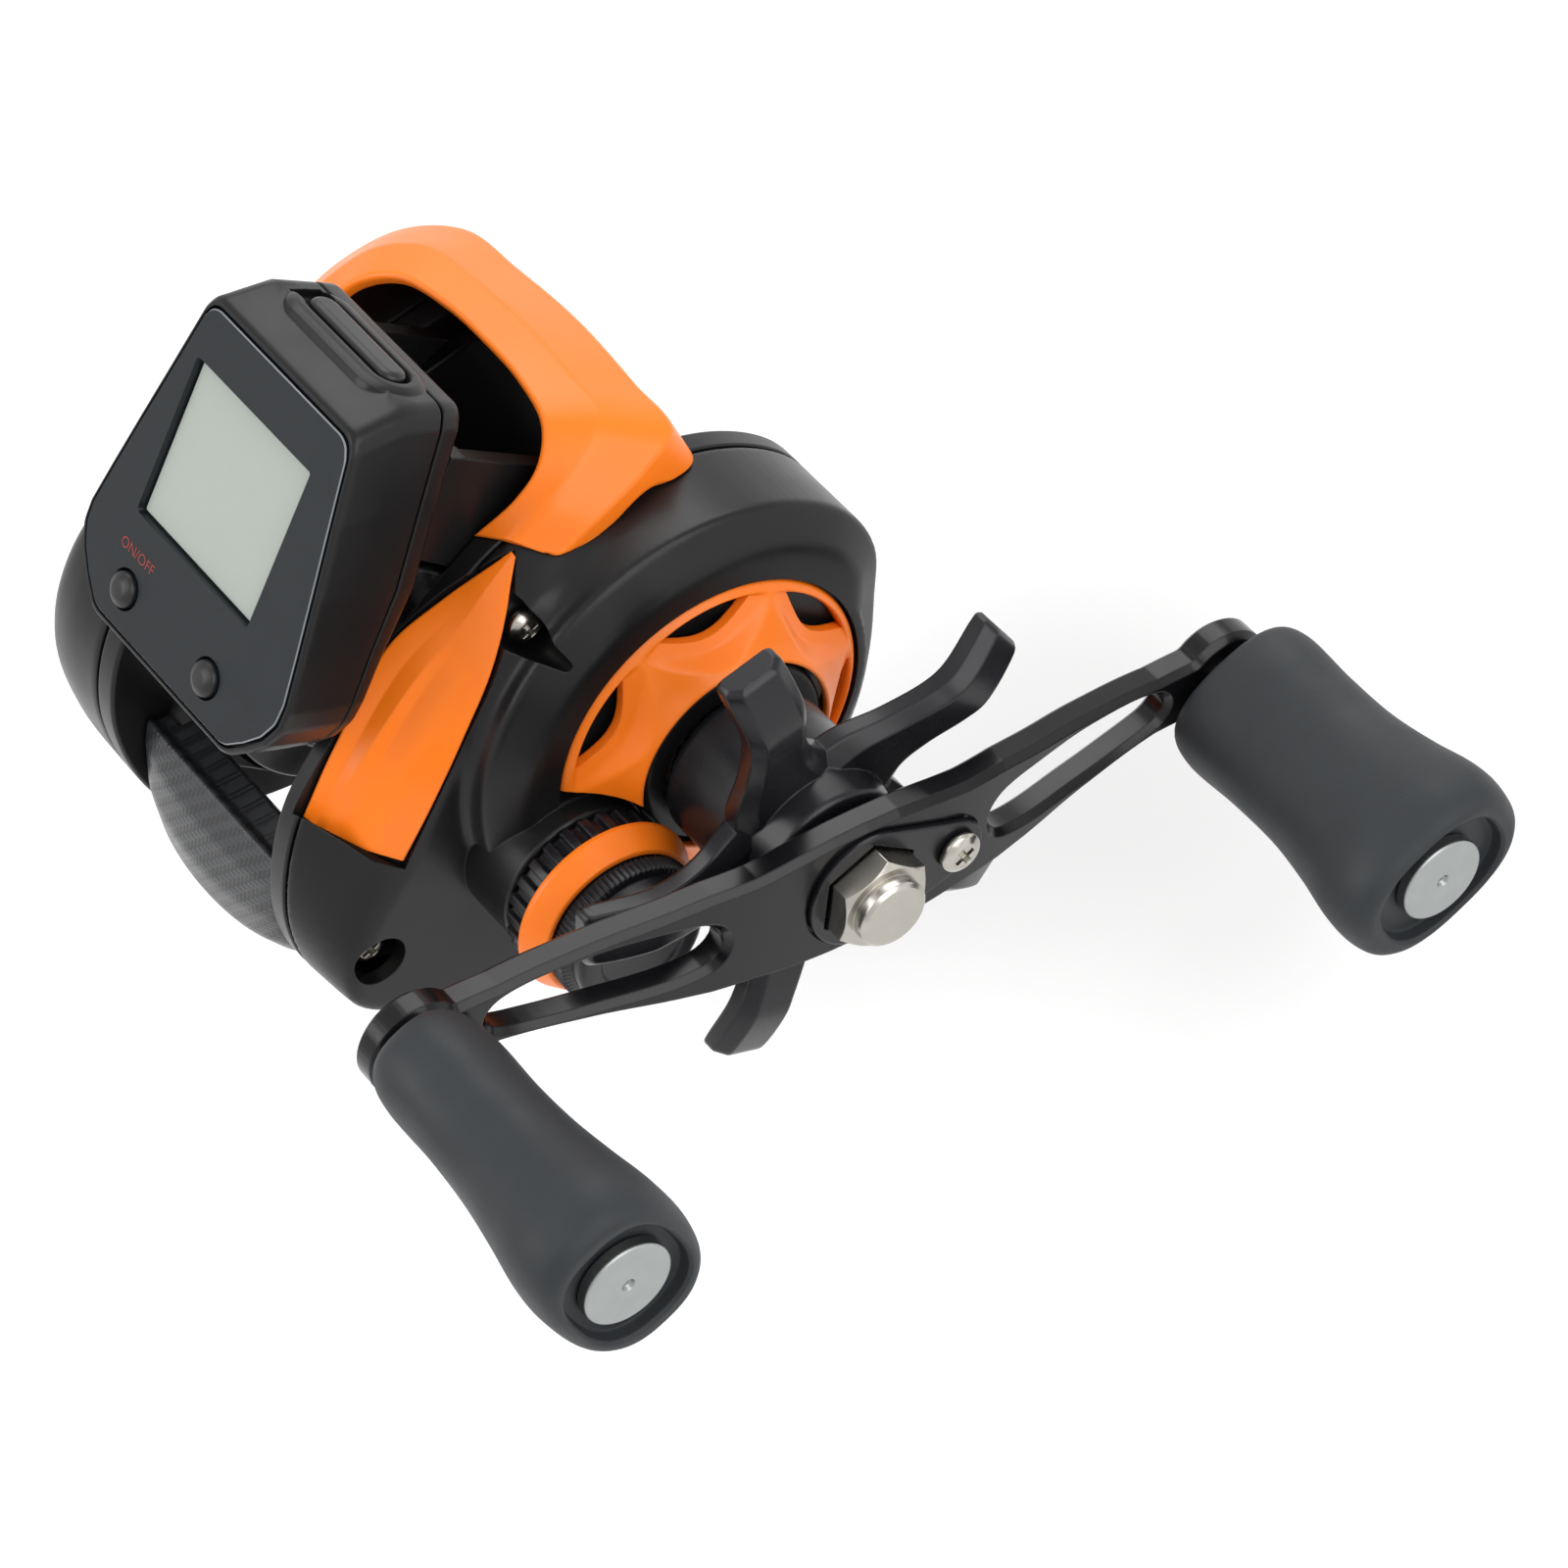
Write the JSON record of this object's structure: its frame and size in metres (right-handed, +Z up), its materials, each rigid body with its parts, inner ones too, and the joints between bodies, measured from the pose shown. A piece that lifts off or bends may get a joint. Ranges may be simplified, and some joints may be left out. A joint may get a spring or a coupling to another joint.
{
  "type": "baitcasting fishing reel with line counter",
  "caption": "Low-profile right-hand baitcasting reel: tilted line-counter display over the spool, orange hood and gear cover, star drag and double-paddle handle on a flat rod foot.",
  "frame": {"origin": "middle of the foot's flat underside, where it rests on the rod seat", "axes": "+X out through the handle side, +Y towards the rod tip, +Z up, away from the rod"},
  "size_m": [0.1194, 0.1051, 0.0882],
  "materials": {
    "black_paint": "satin black paint",
    "black_plastic": "satin black moulded plastic",
    "orange_paint": "bright orange paint",
    "steel": "bare steel",
    "nickel": "polished nickel",
    "brass": "machined brass",
    "black_metal": "black anodised aluminium",
    "black_rubber": "soft matt black grip rubber",
    "gloss_black": "smoked black face sheet",
    "lcd_grey": "unlit grey-green display glass",
    "circuit_green": "solder mask",
    "ceramic": "white ceramic",
    "weave": "dark woven fibre pattern",
    "magnet": "plated magnet"
  },
  "bodies": {
    "reel_body": {"main_frame": "black_paint", "reel_foot": "black_paint", "foot_screw_rear": "steel", "foot_screw_front": "steel", "left_side_ring": "black_paint", "left_side_cover": "black_plastic", "left_spool_bearing": "steel", "brake_magnet_ring": "magnet", "gear_side_frame": "black_paint", "drive_shaft_bearing": "steel", "right_side_plate": "black_plastic", "upper_case_screw": "steel", "rear_case_screw": "steel", "side_accent_panel": "orange_paint", "dome_cover": "orange_paint", "one_way_bearing": "steel", "right_spool_bearing": "steel", "guide_rod": "steel", "front_hood": "orange_paint", "display_face_plate": "gloss_black", "display_front_shell": "black_plastic", "display_back_cover": "black_plastic", "lcd_panel": "lcd_grey", "circuit_board": "circuit_green", "battery": "magnet", "charge_socket": "steel", "display_bracket": "black_paint", "hall_sensor": "circuit_green"},
    "handle": {"drive_shaft": "steel", "drive_gear": "brass", "drag_washer": "weave", "pressure_plate": "steel", "level_drive_gear": "brass", "handle_arm": "black_metal", "handle_nut": "nickel", "nut_retainer": "black_metal", "retainer_screw": "nickel", "front_knob_spindle": "steel", "rear_knob_spindle": "steel"},
    "star": {"star_drag": "black_metal"},
    "front_grip": {"front_knob": "black_rubber", "front_knob_cap": "nickel"},
    "rear_grip": {"rear_knob": "black_rubber", "rear_knob_cap": "nickel"},
    "cast_control": {"cast_control_knob": "black_metal", "cast_control_ring": "orange_paint"},
    "spool_group": {"spool": "black_metal", "spool_shaft": "steel", "pinion_gear": "brass", "counter_magnet": "magnet"},
    "worm": {"worm_shaft": "steel", "worm_gear": "ceramic"},
    "guide": {"line_guide": "black_metal", "line_guide_insert": "ceramic"},
    "thumb": {"thumb_bar": "weave"},
    "power_button": {"on_off_button": "black_rubber"},
    "setting_button": {"set_button": "black_rubber"},
    "port_flap": {"port_cover": "black_rubber"},
    "brake_control": {"brake_dial": "black_metal"}
  },
  "joints": [
    {"name": "handle_turn", "type": "hinge", "parent": "reel_body", "child": "handle", "pos_m": [0.05, 0.0125, 0.0225], "axis": [1, 0, 0], "continuous": true},
    {"name": "spool_turn", "type": "hinge", "parent": "reel_body", "child": "spool_group", "pos_m": [0, -0.008, 0.0225], "axis": [1, 0, 0], "continuous": true},
    {"name": "worm_turn", "type": "hinge", "parent": "reel_body", "child": "worm", "pos_m": [0, 0.023, 0.0185], "axis": [1, 0, 0], "continuous": true},
    {"name": "line_guide_travel", "type": "slide", "parent": "reel_body", "child": "guide", "axis": [1, 0, 0], "range_m": [-0.008, 0.008]},
    {"name": "star_drag_turn", "type": "hinge", "parent": "handle", "child": "star", "pos_m": [0.045, 0.0125, 0.0225], "axis": [1, 0, 0], "range_deg": [-540, 540]},
    {"name": "front_knob_spin", "type": "hinge", "parent": "handle", "child": "front_grip", "pos_m": [0.052, 0.05536, -0.00325], "axis": [1, 0, 0], "continuous": true},
    {"name": "rear_knob_spin", "type": "hinge", "parent": "handle", "child": "rear_grip", "pos_m": [0.052, -0.03036, 0.04825], "axis": [1, 0, 0], "continuous": true},
    {"name": "cast_control_turn", "type": "hinge", "parent": "reel_body", "child": "cast_control", "pos_m": [0.037, -0.008, 0.0225], "axis": [1, 0, 0], "range_deg": [-360, 360]},
    {"name": "thumb_bar_press", "type": "slide", "parent": "reel_body", "child": "thumb", "axis": [0, 0, -1], "range_m": [0, 0.004]},
    {"name": "on_off_press", "type": "slide", "parent": "reel_body", "child": "power_button", "axis": [0, 0.5693, -0.8221], "range_m": [0, 0.0007], "stiffness_N_per_m": 800},
    {"name": "set_press", "type": "slide", "parent": "reel_body", "child": "setting_button", "axis": [0, 0.5693, -0.8221], "range_m": [0, 0.0007], "stiffness_N_per_m": 800},
    {"name": "port_cover_lift", "type": "hinge", "parent": "reel_body", "child": "port_flap", "pos_m": [-0.0068, 0.01288, 0.07117], "axis": [0, -0.5693, 0.8221], "range_deg": [0, 110]},
    {"name": "brake_dial_turn", "type": "hinge", "parent": "reel_body", "child": "brake_control", "pos_m": [-0.028, -0.008, 0.0225], "axis": [1, 0, 0], "range_deg": [0, 300]}
  ],
  "couplings": [
    {"joint": "spool_turn", "follows": "handle_turn", "ratio": -7.2},
    {"joint": "worm_turn", "follows": "handle_turn", "ratio": -1.4}
  ]
}
